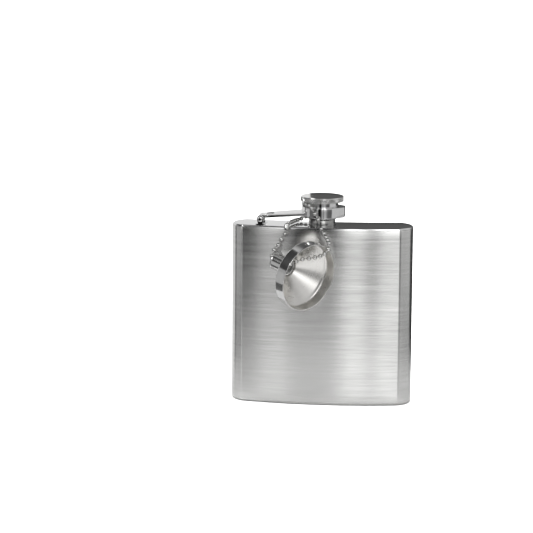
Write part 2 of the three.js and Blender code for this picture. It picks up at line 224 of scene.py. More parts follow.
# ---------------------------------------------------------------- materials
class Nodes:
    """Short ways to add nodes to a material or world."""

    def __init__(self, owner):
        owner.use_nodes = True
        self.tree = owner.node_tree

    def add(self, kind, inputs=None, **settings):
        """A node with its settings, and with each input linked to a socket or set to a value."""
        node = self.tree.nodes.new(kind)
        for key, value in settings.items():
            setattr(node, key, value)
        for key, value in (inputs or {}).items():
            if isinstance(value, bpy.types.NodeSocket):
                self.tree.links.new(value, node.inputs[key])
            else:
                node.inputs[key].default_value = value
        return node

    def feed(self, node, **sockets):
        """Links sockets to a node's inputs. An underscore stands for a space."""
        for key, socket in sockets.items():
            self.tree.links.new(socket, node.inputs[key.replace("_", " ")])

    def math(self, operation, a, b=0.0):
        return self.add("ShaderNodeMath", {0: a, 1: b}, operation=operation).outputs[0]

    def share(self, a, b, part):
        """A mix of two values, of which part is a."""
        return self.math("ADD", self.math("MULTIPLY", a, part),
                         self.math("MULTIPLY", b, 1 - part))

    def spread(self, value, low, high, to_low, to_high):
        """Maps low to high onto to_low to to_high."""
        node = self.add("ShaderNodeMapRange", {0: value, 1: low, 2: high, 3: to_low, 4: to_high})
        return node.outputs[0]

    def noise(self, vector, scale, detail, rough):
        """Noise with its own frequency along each axis, in cycles per unit of vector."""
        at = self.add("ShaderNodeVectorMath", {0: vector, 1: scale}, operation="MULTIPLY")
        node = self.add("ShaderNodeTexNoise", {"Vector": at.outputs[0], "Scale": 1.0,
                                               "Detail": detail, "Roughness": rough})
        return node.outputs["Fac"]

    def tones(self, value, dark, light, low=0.0, high=1.0):
        """A colour from dark to light, as value goes from low to high."""
        node = self.add("ShaderNodeValToRGB", {0: value})
        first, last = node.color_ramp.elements
        first.position, last.position = low, high
        first.color, last.color = (*dark, 1), (*light, 1)
        return node.outputs[0]

    def bump(self, height, distance, over=None):
        """Bump by a height from 0 to 1 times a distance in metres, over another bump's normal."""
        node = self.add("ShaderNodeBump", {"Height": height, "Strength": 1.0, "Distance": distance})
        if over is not None:
            self.feed(node, Normal=over)
        return node.outputs[0]


NOISE_LOW, NOISE_HIGH = 0.3, 0.7  # nearly all of a noise's values lie between these
CLOUDS = (55, 55, 38)  # frequency of the soft blotches, cycles per metre
BROAD = 0.45  # frequency of the broad lines, as a part of the fine lines'
FINE_PART = 0.6
ACROSS = 0.25  # of a turn, from along the lines to across them
# painted shade: the near black that is painted into a knurl's grooves
GROOVE_SHADE = (0.02, 0.02, 0.02, 1)
GROOVE_SHADE_FROM, GROOVE_SHADE_FULL = 0.12, 0.28  # mm below a knurl's crests


def metal(name, dark, light, rough, grain, lines, anisotropy=0.0, spun=None, dents=None,
          marks=0.5, knurl=None, rim=1.0):
    """Bare steel in tones from dark to light, with the two roughnesses that go with them. grain is
    the fine lines' frequency along each axis, in cycles per metre, and lines is their height in
    metres. spun says where a turned piece's own axis is: "object" for the object's +Z, "stored" for
    the one that keep_turning stored. Its grain is by radius, height and angle. dents is the height
    and frequency of slight waves. marks is the lines' part of the tone, and blotches are the rest.
    knurl is the radius and the two heights, in mm, between which a spun piece's grooves get painted
    shade.
    rim is the reflection's strength at a grazing angle."""
    material = bpy.data.materials.new(name)
    n = Nodes(material)
    shader = n.tree.nodes["Principled BSDF"]
    if spun == "stored":
        coordinates = n.add("ShaderNodeAttribute", attribute_name="turned").outputs["Vector"]
    else:
        coordinates = n.add("ShaderNodeTexCoord").outputs["Object"]
    grained = coordinates
    if spun:
        x, y, z = n.add("ShaderNodeSeparateXYZ", {0: coordinates}).outputs
        radius = n.math("SQRT", n.math("ADD", n.math("MULTIPLY", x, x), n.math("MULTIPLY", y, y)))
        angle = n.math("ARCTAN2", y, x)
        grained = n.add("ShaderNodeCombineXYZ", {0: radius, 1: z, 2: angle}).outputs[0]
    fine = n.noise(grained, grain, 4.0, 0.65)
    broad = n.noise(grained, tuple(BROAD * g for g in grain), 2.0, 0.5)
    streaks = n.share(fine, broad, FINE_PART)
    tone = n.share(streaks, n.noise(coordinates, CLOUDS, 3.0, 0.5), marks)
    colour = n.tones(tone, dark, light, NOISE_LOW, NOISE_HIGH)
    # painted shade: between the two heights a knurl's grooves turn near black, starting at the
    # first depth below the crests and full at the second
    if knurl:
        crest, low, high = (MM * k for k in knurl)
        band = n.math("MULTIPLY", n.math("GREATER_THAN", z, low), n.math("LESS_THAN", z, high))
        depth = n.spread(radius, crest - GROOVE_SHADE_FULL * MM, crest - GROOVE_SHADE_FROM * MM, 1, 0)
        groove_shaded = n.add("ShaderNodeMix", {0: n.math("MULTIPLY", band, depth), 6: colour, 7: GROOVE_SHADE},
                      data_type="RGBA")
        colour = groove_shaded.outputs[2]
    waves = None
    if dents:
        height, frequency = dents
        waves = n.bump(n.noise(coordinates, frequency, 1.0, 0.4), height)
    n.feed(shader, Base_Color=colour, Roughness=n.spread(tone, NOISE_LOW, NOISE_HIGH, *rough),
           Normal=n.bump(streaks, lines, waves))
    shader.inputs["Metallic"].default_value = 1.0
    shader.inputs["Specular Tint"].default_value = (rim, rim, rim, 1)
    if anisotropy:
        shader.inputs["Anisotropic"].default_value = anisotropy
        shader.inputs["Anisotropic Rotation"].default_value = ACROSS
        if spun == "stored":
            way = n.add("ShaderNodeTangent", direction_type="UV_MAP", uv_map="turned_uv")
        else:
            way = n.add("ShaderNodeTangent", direction_type="RADIAL", axis="Z")
        n.feed(shader, Tangent=way.outputs[0])
    return material


LATHE = (2500, 2500, 3)
BRUSHED = metal("brushed_sheet", (0.58, 0.58, 0.57), (0.80, 0.80, 0.79), (0.20, 0.27),
                (65, 65, 2100), 0.0000008, anisotropy=1.0, dents=(0.00008, (26, 26, 9)), marks=0.8)
MIRROR = metal("polished_plate", (0.70, 0.70, 0.70), (0.78, 0.78, 0.78), (0.05, 0.10),
               (400, 1500, 400), 0.000001)
POLISHED = metal("polished_turned", (0.68, 0.68, 0.68), (0.80, 0.80, 0.80), (0.06, 0.13),
                 LATHE, 0.0000015, spun="object")
KNURLED = metal("polished_knurl", (0.74, 0.74, 0.73), (0.86, 0.86, 0.85), (0.10, 0.18),
                LATHE, 0.0000015, spun="object", knurl=(HEAD_R, HEAD_Z0 + 0.3, HEAD_Z1 - 0.25))
# painted shade: the neck is the same steel as the other turned parts, given darker tones for the
# shade it sits in
SHADED_NECK_STEEL = metal("turned_neck_painted_shade", (0.26, 0.26, 0.26), (0.42, 0.42, 0.41), (0.14, 0.24),
                   LATHE, 0.000002, spun="object")
SATIN = metal("satin_base", (0.52, 0.52, 0.51), (0.66, 0.66, 0.65), (0.28, 0.42),
              (90, 2200, 90), 0.000008)
SPUN = metal("spun_funnel", (0.62, 0.61, 0.59), (0.76, 0.75, 0.73), (0.24, 0.34),
             (2200, 2200, 3), 0.000002, anisotropy=0.3, spun="stored")
SPOUT = metal("polished_spout", (0.64, 0.64, 0.64), (0.78, 0.78, 0.77), (0.08, 0.16),
              LATHE, 0.0000015, spun="stored")
NICKEL = metal("bead_nickel", (0.56, 0.56, 0.55), (0.70, 0.70, 0.69), (0.07, 0.14),
               (900, 900, 900), 0.000003, rim=0.0)


def rubber(name, color):
    """Soft moulded silicone with a fine speckle."""
    material = bpy.data.materials.new(name)
    n = Nodes(material)
    coordinates = n.add("ShaderNodeTexCoord").outputs["Object"]
    speck = n.noise(coordinates, (1400, 1400, 1400), 3.0, 0.6)
    n.feed(n.tree.nodes["Principled BSDF"],
           Base_Color=n.tones(speck, tuple(0.86 * c for c in color), color),
           Roughness=n.spread(speck, NOISE_LOW, NOISE_HIGH, 0.5, 0.68),
           Normal=n.bump(speck, 0.00002))
    return material


SILICONE = rubber("silicone_seal", (0.80, 0.79, 0.74))


def dress(obj, material, body, slot, *nodes):
    """Gives a piece its material and body, and hides the CAD nodes that it stands for. slot is not
    used.
    """
    obj.data.materials.clear()
    obj.data.materials.append(material)
    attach(obj, body)
    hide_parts(*nodes)


# ---------------------------------------------------------------- ball chain
UPPER_RUN = [
    (-1, -13.5, 97.4), (-2, -13.4, 99), (-3.2, -13.3, 101), (-4.2, -12.8, 102.7),
    (-5.1, -11.4, 103.9), (-6.3, -9, 104), (-7.9, -6.7, 104), (-9.1, -4.1, 104),
    (-9.5, -1.2, 104), (-9, 1.4, 104), (-7.8, 4, 104), (-6.8, 6.8, 103.95), (-6.3, 9.3, 103),
    (-6.5, 10.4, 100.6), (-7, 10.8, 98.2), (-8.4, 10.1, 96), (-10.6, 7.8, 94.8),
    (-12.7, 4.4, 94.5), (-14.2, 0.4, 94.5), (-15.2, -3.6, 94.5), (-15.8, -7.4, 94.7),
    (-16, -9.6, 94.9),
]
LOWER_RUN = [
    (0.7, -14.4, 92.7), (1.6, -15.6, 91.6), (3.2, -18.4, 89.8), (4.5, -21.6, 88.6),
    (5.4, -24.7, 87.9), (6.2, -26.6, 86.7), (5.8, -27.6, 84.8), (4.3, -27.2, 82.9),
    (2.4, -25.6, 81.2), (-0.2, -23.8, 80), (-3, -22.5, 79.1), (-6.4, -21.8, 78.5),
    (-9.8, -21.3, 77.6), (-13.1, -20.8, 75.9), (-16.4, -20, 74.3), (-20.1, -17, 75.2),
    (-23.2, -14.3, 76.6), (-24.6, -13.2, 78), (-23.7, -13, 80.4), (-21.8, -13.2, 82.7),
    (-20.2, -13.4, 85.7), (-18.7, -13.5, 88.6), (-18, -13.6, 89.7),
]
CONNECTOR_AT = Vector((-17, -13.9, 93.5))
CONNECTOR_ALONG = Vector((-0.15, -0.5, -0.85)).normalized()
CONNECTOR_HALF, CONNECTOR_R = 1.7, 1.3
BEAD_HOLE_R = 0.42
END_BEAD = 0.92  # size of a run's end beads, so that those of the two runs clear each other
LINK_R, LINK_HELD = 0.27, 0.45  # a link's radius, and how far it reaches into a bead


def smooth_path(points, per=12):
    """Points of the centripetal Catmull-Rom curve through points, as the CAD sweeps it."""
    p = np.array(points, float)
    p = np.vstack([2 * p[0] - p[1], p, 2 * p[-1] - p[-2]])
    out = []
    for i in range(1, len(p) - 2):
        a, b, c, d = p[i - 1 : i + 3]
        ta, tb, tc = (np.linalg.norm(v) ** 0.5 for v in (b - a, c - b, d - c))
        m0 = ((b - a) / ta - (c - a) / (ta + tb) + (c - b) / tb) * tb
        m1 = ((c - b) / tb - (d - b) / (tb + tc) + (d - c) / tc) * tb
        for s in range(per):
            t = s / per
            out.append((2 * t**3 - 3 * t**2 + 1) * b + (t**3 - 2 * t**2 + t) * m0
                       + (3 * t**2 - 2 * t**3) * c + (t**3 - t**2) * m1)
    out.append(p[-2])
    return np.array(out)


def evenly(path, step):
    """Points a whole number of equal steps apart along a path, and the path's length."""
    along = np.concatenate([[0], np.cumsum(np.linalg.norm(np.diff(path, axis=0), axis=1))])
    count = max(1, round(along[-1] / step))
    at = np.linspace(0, along[-1], count + 1)
    return np.stack([np.interp(at, along, path[:, k]) for k in range(3)], 1), along[-1]


def placed(vertices, faces, origin, axis):
    """A shape built about +Z, moved to an origin with +Z turned to axis."""
    turn = np.array(Vector((0, 0, 1)).rotation_difference(Vector(axis)).to_matrix())
    return np.asarray(vertices) @ turn.T + np.asarray(origin), faces


def bead_shape():
    """A hollow bead: a sphere with a small pierced and turned-in hole at each end."""
    start = math.asin(BEAD_HOLE_R / BEAD_R)
    arc = [(BEAD_R * math.sin(t), -BEAD_R * math.cos(t))
           for t in np.linspace(start, math.pi - start, 15)]
    r, z = BEAD_HOLE_R - 0.08, BEAD_R * math.cos(start)
    line = [(0, -z + 0.16), (r, -z + 0.14), *arc, (r, z - 0.14), (0, z - 0.16)]
    return grid(turned_rings(line, 20))


def link_shape(length):
    """The wire between two beads, a little thinner in the middle."""
    line = [(0, -length / 2), (LINK_R, -length / 2), (LINK_R, -length / 6), (LINK_R * 0.8, 0),
            (LINK_R, length / 6), (LINK_R, length / 2), (0, length / 2)]
    return grid(turned_rings(line, 8))


def bead_chain(name, points):
    """A chain along a route: the piece, and its path and length in metres."""
    path = smooth_path(points)
    centres, whole = evenly(path, BEAD_STEP)
    bead = bead_shape()
    parts = []
    for i, c in enumerate(centres):
        ahead = centres[min(i + 1, len(centres) - 1)] - centres[max(i - 1, 0)]
        size = 1 if 0 < i < len(centres) - 1 else END_BEAD
        parts.append(placed(bead[0] * size, bead[1], c, ahead))
    for a, b in zip(centres, centres[1:]):
        length = np.linalg.norm(b - a) - 2 * BEAD_R + 2 * LINK_HELD
        parts.append(placed(*link_shape(length), (a + b) / 2, b - a))
    return finish_mesh(name, *merge(*parts), sharp=50), path * MM, whole * MM


upper_chain, upper_path, upper_length = bead_chain("ball_chain_round_the_cap", UPPER_RUN)
dress(upper_chain, NICKEL, "arm", "chain_steel", "chain_upper_run")
lower_chain, lower_path, lower_length = bead_chain("ball_chain_through_the_funnel", LOWER_RUN)
dress(lower_chain, NICKEL, "funnel", "chain_steel", "chain_lower_run")


def connector_shape():
    """A snap-in chain connector: a short barrel that draws in at each end."""
    half, r = CONNECTOR_HALF, CONNECTOR_R
    line = soften([(0, -half), (r - 0.3, -half), (r, -half + 0.5), (r, half - 0.5),
                   (r - 0.3, half), (0, half)], 0.2, closed=False)
    return grid(turned_rings(line, 40))


connector = finish_mesh("chain_snap_connector", *connector_shape(),
                        place(*CONNECTOR_AT, axis=CONNECTOR_ALONG))
dress(connector, NICKEL, "chain_link", "chain_steel", "chain_connector")


# ---------------------------------------------------------------- body
CREASE_R = 0.7
HEM = ((0.10, 0.02), (0.03, 0.06))  # in from the sheet's face, and along from its end
FACE_FROM = 0.16
FLANGE_INNER, FLANGE_OUTER = 1.7, 1.0  # an end plate's flange's faces, in from the outline
PLATE_EDGE_IN = 0.12
PLATE_HOLE_R = 7.1


def arc_through(a, m, b, steps):
    """Points of the arc through a, m and b, without b."""
    (ax, ay), (mx, my), (bx, by) = a, m, b
    d = 2 * (ax * (my - by) + mx * (by - ay) + bx * (ay - my))
    qa, qm, qb = ax * ax + ay * ay, mx * mx + my * my, bx * bx + by * by
    cx = (qa * (my - by) + qm * (by - ay) + qb * (ay - my)) / d
    cy = (qa * (bx - mx) + qm * (ax - bx) + qb * (mx - ax)) / d
    angle = [math.atan2(y - cy, x - cx) for x, y in (a, m, b)]
    turn = [math.atan2(math.sin(t - s), math.cos(t - s)) for s, t in zip(angle, angle[1:])]
    r = math.hypot(ax - cx, ay - cy)
    at = [angle[0] + sum(turn) * i / steps for i in range(steps)]
    return [(cx + r * math.cos(t), cy + r * math.sin(t)) for t in at]


def body_outline():
    """The flask's section: a bowed front, two round sides and a hollow back."""
    front, back = -BODY_D / 2 + FRONT_CROWN, BODY_D / 2
    side = (front + back) / 2
    corners = [(-FRONT_CREASE_X, front), (FRONT_CREASE_X, front),
               (BACK_CREASE_X, back), (-BACK_CREASE_X, back)]
    middles = [(0, -BODY_D / 2), (BODY_W / 2, side), (0, back - BACK_HOLLOW), (-BODY_W / 2, side)]
    line = []
    for i, steps in enumerate((96, 30, 80, 30)):
        run = arc_through(corners[i], middles[i], corners[(i + 1) % 4], steps)
        line += [(*run[0], CREASE_R)] + [(*p, 0.0) for p in run[1:]]
    return np.array(soften(line, 0, steps=5))


OUTLINE = body_outline()


def inset(distance):
    """The body's outline moved inwards."""
    before = OUTLINE - np.roll(OUTLINE, 1, 0)
    after = np.roll(OUTLINE, -1, 0) - OUTLINE
    before /= np.linalg.norm(before, axis=1)[:, None]
    after /= np.linalg.norm(after, axis=1)[:, None]
    mean = before + after
    mean /= np.linalg.norm(mean, axis=1)[:, None]
    return OUTLINE + distance * np.stack([-mean[:, 1], mean[:, 0]], 1)


def level(points, z):
    """Flat points raised to a height."""
    return np.column_stack([points, np.full(len(points), float(z))])


def hole(radius):
    """A circle round the neck's axis with one point for each point of the outline."""
    angle = np.unwrap(np.arctan2(OUTLINE[:, 1] - NECK_Y, OUTLINE[:, 0]))
    return np.stack([radius * np.cos(angle), NECK_Y + radius * np.sin(angle)], 1)


def body_sheet():
    """The wrapped sheet between the end plates, with eased ends."""
    low, high = PLATE, TOP - PLATE
    end = HEM[0][1]
    rings = [level(inset(back), low + up) for back, up in HEM]
    rings += [level(inset(0), z) for z in np.linspace(low + FACE_FROM, high - FACE_FROM, 24)]
    rings += [level(inset(back), high - up) for back, up in HEM[::-1]]
    rings += [level(inset(SHEET), high - end), level(inset(SHEET), low + end)]
    return grid(rings, wrap=True)


def end_plate(top):
    """A pressed end plate with its rounded edge and inner flange. Only the top one has a hole."""
    z = (lambda h: TOP - h) if top else (lambda h: h)
    # a quarter circle, from the face that meets the sheet to the flat
    edge = [(PLATE * (1 - math.cos(t)), PLATE * (1 - math.sin(t)))
            for t in np.linspace(0.12, 1.571, 9)]
    outside = [level(inset(FLANGE_OUTER), z(PLATE + FLANGE_H)),
               level(inset(FLANGE_OUTER), z(PLATE)), level(inset(PLATE_EDGE_IN), z(PLATE))]
    outside += [level(inset(back), z(depth)) for back, depth in edge]
    inside = [level(inset(FLANGE_INNER), z(PLATE)), level(inset(FLANGE_INNER), z(PLATE + FLANGE_H))]
    if top:
        rim = [level(hole(PLATE_HOLE_R), z(0)), level(hole(PLATE_HOLE_R), z(PLATE))]
        return grid(outside + rim + inside, wrap=True)
    return grid(inside + outside, caps=True)


for name, shape, material, slot, node in (
        ("body_sheet", body_sheet(), BRUSHED, "brushed_steel", "body_shell"),
        ("top_cover", end_plate(top=True), MIRROR, "polished_steel", "top_plate"),
        ("base_cover", end_plate(top=False), SATIN, "satin_steel", "bottom_plate")):
    dress(finish_mesh(name, *shape, sharp=30), material, "flask", slot, node)


# ---------------------------------------------------------------- neck
NECK_FLANGE_R, NECK_FLANGE_Z0, NECK_FLANGE_Z1 = 8.4, -2.1, -1.3
NECK_THREAD_Z0, NECK_THREAD_Z1 = 3.7, 8.5
RUN_OUT = 0.6  # height over which a thread rises at its ends


def helix(core, depth, z0, z1):
    """Radii by angle for a thread between two heights: a rounded crest on a core radius. A depth
    below zero puts the crest inside a bore."""

    def wobble(r, z, angles):
        if abs(r - core) > SMALL:
            return np.full(len(angles), float(r))
        phase = (z / THREAD_PITCH - angles / (2 * math.pi)) % 1
        crest = np.clip(1.7 * (1 - np.abs(2 * phase - 1)) - 0.2, 0, 1)
        fade = np.clip(min((z - z0) / RUN_OUT, (z1 - z) / RUN_OUT), 0, 1)
        return core + depth * fade * crest * crest * (3 - 2 * crest)

    return wobble


def neck_piece():
    """The open neck: a flange under the plate, a plain foot and a real thread."""
    core = THREAD_R - THREAD_DEPTH
    line = [(NECK_BORE_R, NECK_FLANGE_Z0), (NECK_FLANGE_R, NECK_FLANGE_Z0),
            (NECK_FLANGE_R, NECK_FLANGE_Z1), (NECK_R + 0.02, NECK_FLANGE_Z1), (NECK_R, 0.0)]
    line += [(NECK_R, 0.35), (NECK_R - 0.02, 3.0), (NECK_R - 0.15, 3.2), (NECK_R - 0.5, 3.4)]
    line += [(core, z) for z in np.linspace(3.6, NECK_H - 0.35, 60)]
    line += [(core - 0.1, NECK_H - 0.12), (core - 0.25, NECK_H), (NECK_BORE_R + 0.1, NECK_H)]
    line += [(NECK_BORE_R, NECK_H - 0.1)]
    wobble = helix(core, THREAD_DEPTH, NECK_THREAD_Z0, NECK_THREAD_Z1)
    return grid(turned_rings(line, 160, wobble), wrap=True)


dress(finish_mesh("threaded_neck", *neck_piece(), CAP_AXIS), SHADED_NECK_STEEL, "flask", "polished_steel",
      "neck")


# ---------------------------------------------------------------- cap
KNURLS, KNURL_DEPTH = 56, 0.34
DOME_R, DOME_H = 10.5, 0.22
SKIRT_GROOVE, SKIRT_TOP = 0.5, 10.9
SKIRT_THREAD_DEPTH, SKIRT_THREAD_Z0, SKIRT_THREAD_Z1 = 0.3, 4.0, 9.2
SEAL_R, SEAL_Z0, SEAL_Z1 = 6.8, 9.5, 10.6
RING_BORE_R, RING_HALF_GAP = 8.02, 0.12


def cap_head():
    """The knurled head: a low polished dome over a band of raised diamonds."""
    low, high = HEAD_Z0 + 0.42, HEAD_Z1 - 0.38

    def wobble(r, z, angles):
        if abs(r - HEAD_R) > SMALL:
            return np.full(len(angles), float(r))
        along = KNURLS * angles / (2 * math.pi)
        up = (z - low) * KNURLS / (2 * math.pi * HEAD_R)
        groove = [np.abs(2 * ((along + s * up) % 1) - 1) for s in (1, -1)]
        depth = np.maximum(*groove)
        # the grooves get shallower at the band's two edges
        fade = min(1.0, (z - low) / 0.15 + 0.2, (high - z) / 0.15 + 0.2)
        return HEAD_R - KNURL_DEPTH * fade * np.clip(depth * 1.5 - 0.5, 0, 1)

    line = [(0, HEAD_Z0 + 0.1), (10.2, HEAD_Z0 + 0.1), (10.6, HEAD_Z0 + 0.12),
            (10.92, HEAD_Z0 + 0.24)]
    line += [(HEAD_R, z) for z in np.linspace(low, high, 24)]
    line += [(10.96, HEAD_Z1 - 0.2), (10.78, HEAD_Z1 - 0.07), (DOME_R, HEAD_Z1)]
    line += [(r, HEAD_Z1 + DOME_H * (1 - (r / DOME_R) ** 2)) for r in np.linspace(9.9, 0, 14)]
    return grid(turned_rings(line, KNURLS * 8, wobble))


def cap_skirt():
    """The skirt with its ring groove outside and the thread that rides on the neck inside."""
    groove_z0, groove_z1 = RING_Z0 - 0.3, RING_Z1 + 0.3
    line = [(0, HEAD_Z0), (SKIRT_R, HEAD_Z0), (SKIRT_R, RING_Z1 + 0.34),
            (SKIRT_R - 0.04, groove_z1), (SKIRT_R - SKIRT_GROOVE, groove_z1),
            (SKIRT_R - SKIRT_GROOVE, groove_z0), (SKIRT_R - 0.04, groove_z0),
            (SKIRT_R, RING_Z0 - 0.34), (SKIRT_R, COLLAR_Z0), (SKIRT_R - 0.35, SKIRT_Z0 + 0.06),
            (SKIRT_R - 0.45, SKIRT_Z0), (SKIRT_BORE_R + 0.08, SKIRT_Z0)]
    line += [(SKIRT_BORE_R, z) for z in np.linspace(SKIRT_Z0 + 0.08, SKIRT_TOP - 0.1, 60)]
    line += [(SKIRT_BORE_R - 0.1, SKIRT_TOP), (0, SKIRT_TOP)]
    wobble = helix(SKIRT_BORE_R, -SKIRT_THREAD_DEPTH, SKIRT_THREAD_Z0, SKIRT_THREAD_Z1)
    return grid(turned_rings(line, 160, wobble))


dress(finish_mesh("knurled_cap_head", *cap_head(), CAP_AXIS, sharp=28), KNURLED, "cap",
      "polished_steel", "cap_head")
dress(finish_mesh("cap_threaded_skirt", *cap_skirt(), CAP_AXIS), POLISHED, "cap",
      "polished_steel", "cap_skirt")
seal = turned("cap_seal_disc", [(0, SEAL_Z0), (SEAL_R, SEAL_Z0), (SEAL_R, SEAL_Z1), (0, SEAL_Z1)],
              CAP_AXIS, radius=0.3)
dress(seal, SILICONE, "cap", "silicone", "cap_gasket")


def split_ring():
    """The spring ring that keeps the cap in the collar, with its gap at the back."""
    section = soften([(RING_BORE_R, RING_Z0), (RING_R, RING_Z0), (RING_R, RING_Z1),
                      (RING_BORE_R, RING_Z1)], 0.15)
    back = math.pi / 2
    rings = []
    for t in np.linspace(back + RING_HALF_GAP, back + 2 * math.pi - RING_HALF_GAP, 150):
        rings.append([(r * math.cos(t), r * math.sin(t), z) for r, z in section])
    return grid(rings, caps=True)


dress(finish_mesh("cap_retaining_ring", *split_ring(), CAP_AXIS), POLISHED, "cap_carrier",
      "satin_steel", "retaining_ring")


# ---------------------------------------------------------------- arm
STRAP_CURVE = ((HINGE_X + 3.6, 6.0), (-16.0, 6.8), (-5.0, 8.8))  # x from the cap, half width
RIVET_X = 4.8  # from the pin, along the strap


def collar():
    """The ring that holds the cap, drawn out to a flat thumb lip opposite the hinge."""
    reach = math.hypot(LIP_X, LIP_HALF)
    corner = math.atan2(LIP_HALF, LIP_X)
    lean = corner + math.acos(COLLAR_R / reach)
    turns = (lean, corner, corner - 0.02, corner + 0.02)
    angles = sorted({*np.linspace(-math.pi, math.pi, 181)[:-1].round(6),
                     *(s * a for s in (1, -1) for a in turns)})

    def radius(t):
        a = abs(t)
        if a <= corner:
            return LIP_X / math.cos(a)
        return COLLAR_R if a >= lean else COLLAR_R / math.cos(lean - a)

    outer = np.array([radius(t) for t in angles])
    way = np.stack([np.cos(angles), np.sin(angles)], 1)
    edge = 0.35
    steps = [(edge * (1 - math.sin(t)), edge * (1 - math.cos(t)))
             for t in np.linspace(0, math.pi / 2, 5)]
    rings = [level(way * (outer - back)[:, None], COLLAR_Z0 + up) for back, up in steps]
    rings += [level(way * (outer - back)[:, None], COLLAR_Z1 - up) for back, up in steps[::-1]]
    for r, z in soften([(COLLAR_LIP_R, COLLAR_Z1), (COLLAR_LIP_R, COLLAR_LIP_Z),
                        (COLLAR_CUP_R, COLLAR_LIP_Z), (COLLAR_CUP_R, COLLAR_Z0)], 0.15, steps=3):
        rings.append(level(way * min(r, COLLAR_R - edge - 0.05), z))
    return grid(rings, wrap=True)


def strap_half_width(x):
    """Half the strap's width at x, measured from the cap's axis."""
    (x0, w0), (x1, w1), (x2, w2) = STRAP_CURVE
    flare = x0 - 1.0
    if x <= flare:
        return KNUCKLE_HALF
    if x <= x0:
        return KNUCKLE_HALF + (x - flare) * (w0 - KNUCKLE_HALF)
    a, b, c = x0 - 2 * x1 + x2, 2 * (x1 - x0), x0 - x
    t = (-b + math.sqrt(b * b - 4 * a * c)) / (2 * a)
    return w0 * (1 - t) ** 2 + 2 * w1 * t * (1 - t) + w2 * t * t


def strap():
    """The strap from the knuckle to the collar, turning up where it meets the wall."""
    from_pin, into_wall = 0.9, 0.45
    fillet, fillet_h = 1.4, 1.1
    wall = COLLAR_R - into_wall
    low, high = KNUCKLE_R - ARM_T, KNUCKLE_R
    rings = []
    for s in np.linspace(0, 1, 60) ** 0.8:  # steps get closer towards the collar
        w = strap_half_width(HINGE_X + from_pin + s * (-wall - HINGE_X - from_pin))
        ring = []
        for y, z in soften([(-w, low), (w, low), (w, high), (-w, high)], 0.28):
            end = -math.sqrt(max(wall * wall - y * y, 4.0))
            x = HINGE_X + from_pin + s * (end - HINGE_X - from_pin)
            off = math.hypot(x, y) - COLLAR_R
            if z > high - 0.5 and off < fillet:
                u = 1 - max(off, 0) / fillet
                z += fillet_h * (1 - math.sqrt(max(0.0, 1 - u * u)))
            dx = x - HINGE_X
            ring.append((HINGE_X + dx * math.cos(ARM_RISE) - z * math.sin(ARM_RISE), y,
                         HINGE_Z + dx * math.sin(ARM_RISE) + z * math.cos(ARM_RISE)))
        rings.append(ring)
    return grid(rings, caps=True)


def curl():
    """The strap's end rolled round the pin."""
    steps = 56
    turn = np.linspace(math.radians(72), math.radians(390), steps)
    outer = [(KNUCKLE_R * math.cos(t), KNUCKLE_R * math.sin(t)) for t in turn]
    inner = [(PIN_HOLE_R * math.cos(t), PIN_HOLE_R * math.sin(t)) for t in turn[::-1]]
    corners = (0, steps - 1, steps, 2 * steps - 1)
    profile = np.array(soften([(x, z, 0.1 if i in corners else 0.0)
                               for i, (x, z) in enumerate(outer + inner)], 0))
    r = np.linalg.norm(profile, axis=1)
    outwards = np.sign(r - (KNUCKLE_R + PIN_HOLE_R) / 2)
    edge = ((0.0, 0.14), (0.04, 0.05), (0.15, 0.0))  # in from the end, and off the surface
    ends = [(-KNUCKLE_HALF + along, shrink) for along, shrink in edge]
    ends += [(KNUCKLE_HALF - along, shrink) for along, shrink in edge[::-1]]
    rings = []
    for y, shrink in ends:
        flat = profile * ((r - outwards * shrink) / r)[:, None]
        rings.append(np.column_stack([HINGE_X + flat[:, 0], np.full(len(flat), y),
                                      HINGE_Z + flat[:, 1]]))
    return grid(rings, caps=True)


def united(name, shapes, matrix):
    """Several closed shapes joined to one body by exact boolean union."""
    sharp = 34
    objs = [finish_mesh(f"{name}_{i}", *shape, matrix) for i, shape in enumerate(shapes)]
    base = objs[0]
    for other in objs[1:]:
        step = base.modifiers.new("join", "BOOLEAN")
        step.operation, step.solver, step.object = "UNION", "EXACT", other
    bpy.context.view_layer.update()
    evaluated = base.evaluated_get(bpy.context.evaluated_depsgraph_get())
    me = bpy.data.meshes.new_from_object(evaluated)
    for obj in objs:
        bpy.data.objects.remove(obj)
    me.name = name
    me.shade_smooth()
    me.set_sharp_from_angle(angle=math.radians(sharp))
    result = in_scene(name, me)
    result.matrix_world = matrix
    return result


arm = united("captive_cap_arm", [collar(), strap(), curl()], CAP_AXIS)
dress(arm, POLISHED, "arm", "polished_steel", "captive_arm")

on_strap = (place(HINGE_X, NECK_Y, TOP + HINGE_Z) @ Matrix.Rotation(-ARM_RISE, 4, "Y")
            @ Matrix.Translation(Vector((RIVET_X, 0, KNUCKLE_R + 0.02)) * MM))
rivet = turned("arm_rivet_head", [(0, 0), (2, 0), (1.98, 0.2), (1.5, 0.55), (0.7, 0.7), (0, 0.7)],
               on_strap, segments=64, radius=0.2)
dress(rivet, POLISHED, "arm", "polished_steel", "arm_rivet")


# ---------------------------------------------------------------- hinge
BRACKET_HALF = KNUCKLE_HALF + EAR_GAP + EAR_T
EAR_R, EAR_NARROWING = 1.75, 0.3
FOOT_HALF, FOOT_H = 2.4, 0.6
PIN_HEAD_R = 1.35


